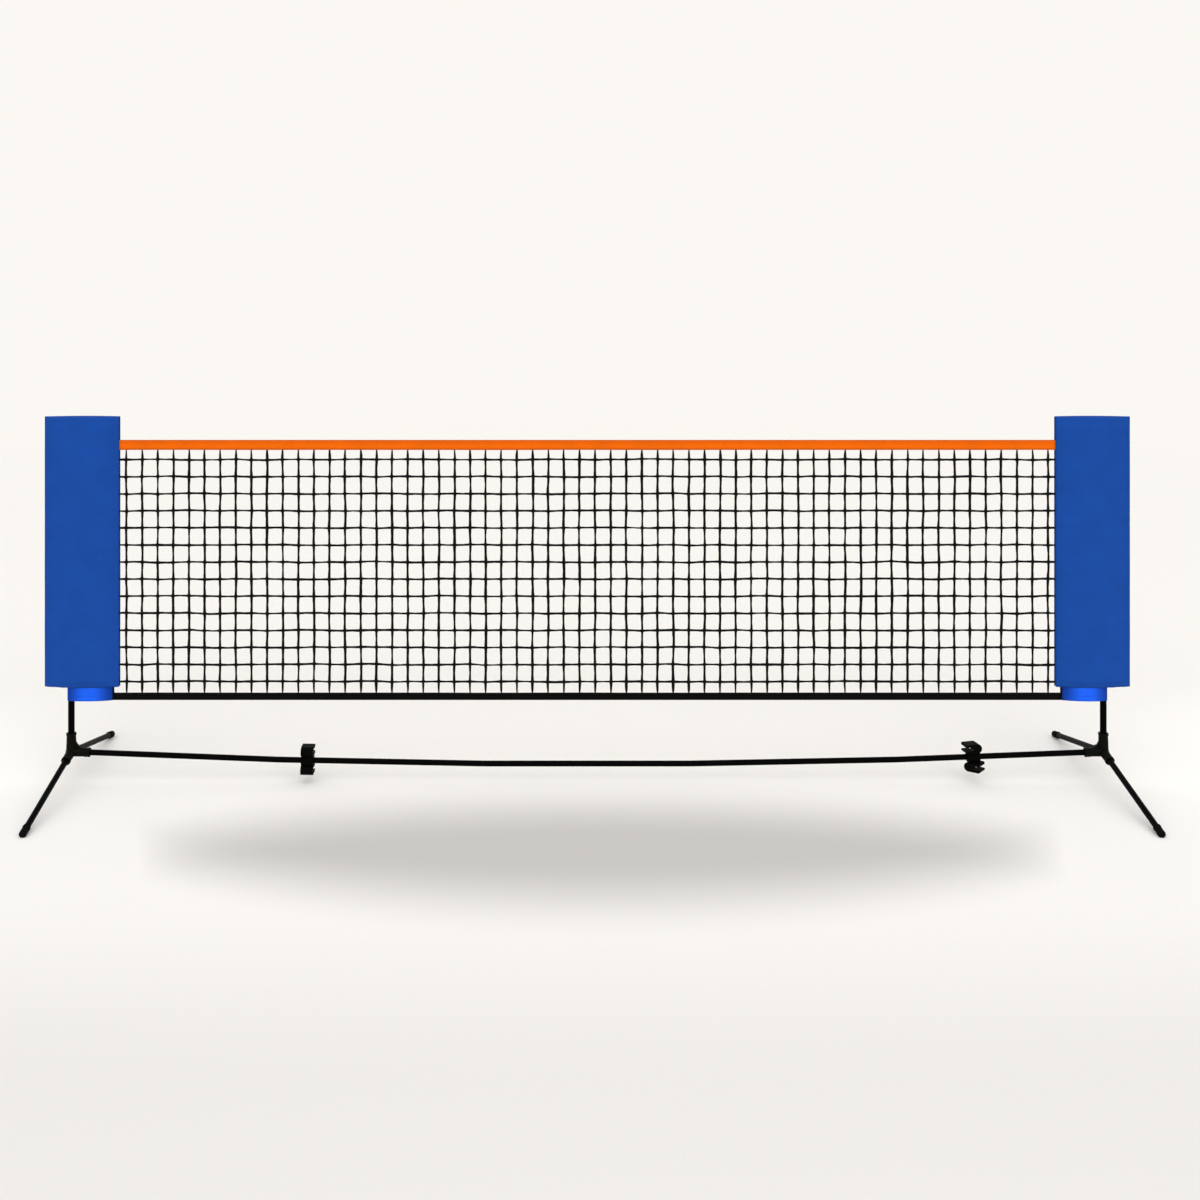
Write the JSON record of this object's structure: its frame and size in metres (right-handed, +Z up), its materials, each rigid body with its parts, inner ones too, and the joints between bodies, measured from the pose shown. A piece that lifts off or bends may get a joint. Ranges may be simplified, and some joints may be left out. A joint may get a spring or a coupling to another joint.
{
  "type": "portable pickleball net",
  "caption": "Free-standing portable net: a mesh with a bright top tape and padded end covers, carried by two posts on a tube base with splayed feet.",
  "frame": {"origin": "on the floor, under the middle of the net", "axes": "+X along the net to the right, +Y to the back, +Z up; the player's view in the picture looks along +Y"},
  "size_m": [3.048, 0.8234, 1.0283],
  "materials": {
    "black_steel": "satin black powder coat",
    "zinc_steel": "zinc plated",
    "black_moulding": "black moulded nylon with a faint olive tone",
    "rubber": "matt",
    "net_twine": "knotted black twine",
    "orange_tape": "woven polyester webbing",
    "black_tape": "woven polyester webbing",
    "white_cord": "braided polyester cord",
    "sleeve_cloth": "bright blue woven nylon",
    "cover_cloth": "royal blue woven nylon"
  },
  "bodies": {
    "frame": {"left_corner_fitting": "black_moulding", "right_corner_fitting": "black_moulding", "fitting_screws": "zinc_steel", "bar_tube_1": "black_steel", "bar_tube_2": "black_steel", "bar_tube_3": "black_steel", "bar_tube_4": "black_steel", "bar_tube_5": "black_steel", "bar_connector_1": "zinc_steel", "bar_connector_2": "zinc_steel", "bar_connector_3": "zinc_steel", "bar_connector_4": "zinc_steel"},
    "left_post": {"left_lower_post_tube": "black_steel", "left_upper_post_tube": "black_steel", "left_post_cap": "rubber"},
    "right_post": {"right_lower_post_tube": "black_steel", "right_upper_post_tube": "black_steel", "right_post_cap": "rubber"},
    "left_front_foot": {"left_front_foot_tube": "black_steel", "left_front_foot_boot": "rubber"},
    "left_back_foot": {"left_back_foot_tube": "black_steel", "left_back_foot_boot": "rubber"},
    "right_front_foot": {"right_front_foot_tube": "black_steel", "right_front_foot_boot": "rubber"},
    "right_back_foot": {"right_back_foot_tube": "black_steel", "right_back_foot_boot": "rubber"},
    "left_clip": {"left_clip_collar": "black_moulding", "left_clip_rivets": "zinc_steel"},
    "left_upper_jaw": {"left_clip_upper_jaw": "black_moulding"},
    "left_lower_jaw": {"left_clip_lower_jaw": "black_moulding"},
    "right_clip": {"right_clip_collar": "black_moulding", "right_clip_rivets": "zinc_steel"},
    "right_upper_jaw": {"right_clip_upper_jaw": "black_moulding"},
    "right_lower_jaw": {"right_clip_lower_jaw": "black_moulding"},
    "net": {"net_mesh": "net_twine", "top_tape": "orange_tape", "top_cord": "white_cord", "bottom_tape": "black_tape", "bottom_cord": "white_cord", "left_sleeve": "sleeve_cloth", "right_sleeve": "sleeve_cloth", "left_cover_front": "cover_cloth", "left_cover_back": "cover_cloth", "right_cover_front": "cover_cloth", "right_cover_back": "cover_cloth"}
  },
  "joints": [
    {"name": "left_post_lift", "type": "slide", "parent": "frame", "child": "left_post", "axis": [0, 0, 1], "range_m": [0, 0.06]},
    {"name": "right_post_lift", "type": "slide", "parent": "frame", "child": "right_post", "axis": [0, 0, 1], "range_m": [0, 0.06]},
    {"name": "net_lift", "type": "slide", "parent": "left_post", "child": "net", "axis": [0, 0, 1], "range_m": [0, 0.8]},
    {"name": "left_front_foot_pull", "type": "slide", "parent": "frame", "child": "left_front_foot", "axis": [0, -0.9819, -0.1893], "range_m": [0, 0.06]},
    {"name": "left_back_foot_pull", "type": "slide", "parent": "frame", "child": "left_back_foot", "axis": [0, 0.9819, -0.1893], "range_m": [0, 0.06]},
    {"name": "right_front_foot_pull", "type": "slide", "parent": "frame", "child": "right_front_foot", "axis": [0, -0.9819, -0.1893], "range_m": [0, 0.06]},
    {"name": "right_back_foot_pull", "type": "slide", "parent": "frame", "child": "right_back_foot", "axis": [0, 0.9819, -0.1893], "range_m": [0, 0.06]},
    {"name": "left_clip_slide", "type": "slide", "parent": "frame", "child": "left_clip", "axis": [0.9998, 0, -0.0193], "range_m": [-0.062, 0.474]},
    {"name": "right_clip_slide", "type": "slide", "parent": "frame", "child": "right_clip", "axis": [0.9993, 0, 0.0386], "range_m": [-0.192, 0.28]},
    {"name": "left_upper_jaw_swivel", "type": "hinge", "parent": "left_clip", "child": "left_upper_jaw", "pos_m": [-0.78602, 0, 0.06198], "axis": [0.0193, 0, 0.9998], "continuous": true},
    {"name": "left_lower_jaw_swivel", "type": "hinge", "parent": "left_clip", "child": "left_lower_jaw", "pos_m": [-0.78602, 0, 0.06198], "axis": [0.0193, 0, 0.9998], "continuous": true},
    {"name": "right_upper_jaw_swivel", "type": "hinge", "parent": "right_clip", "child": "right_upper_jaw", "pos_m": [1.08384, 0, 0.07186], "axis": [-0.0386, 0, 0.9993], "continuous": true},
    {"name": "right_lower_jaw_swivel", "type": "hinge", "parent": "right_clip", "child": "right_lower_jaw", "pos_m": [1.08384, 0, 0.07186], "axis": [-0.0386, 0, 0.9993], "continuous": true}
  ],
  "couplings": [
    {"joint": "right_post_lift", "follows": "left_post_lift", "ratio": 1}
  ]
}
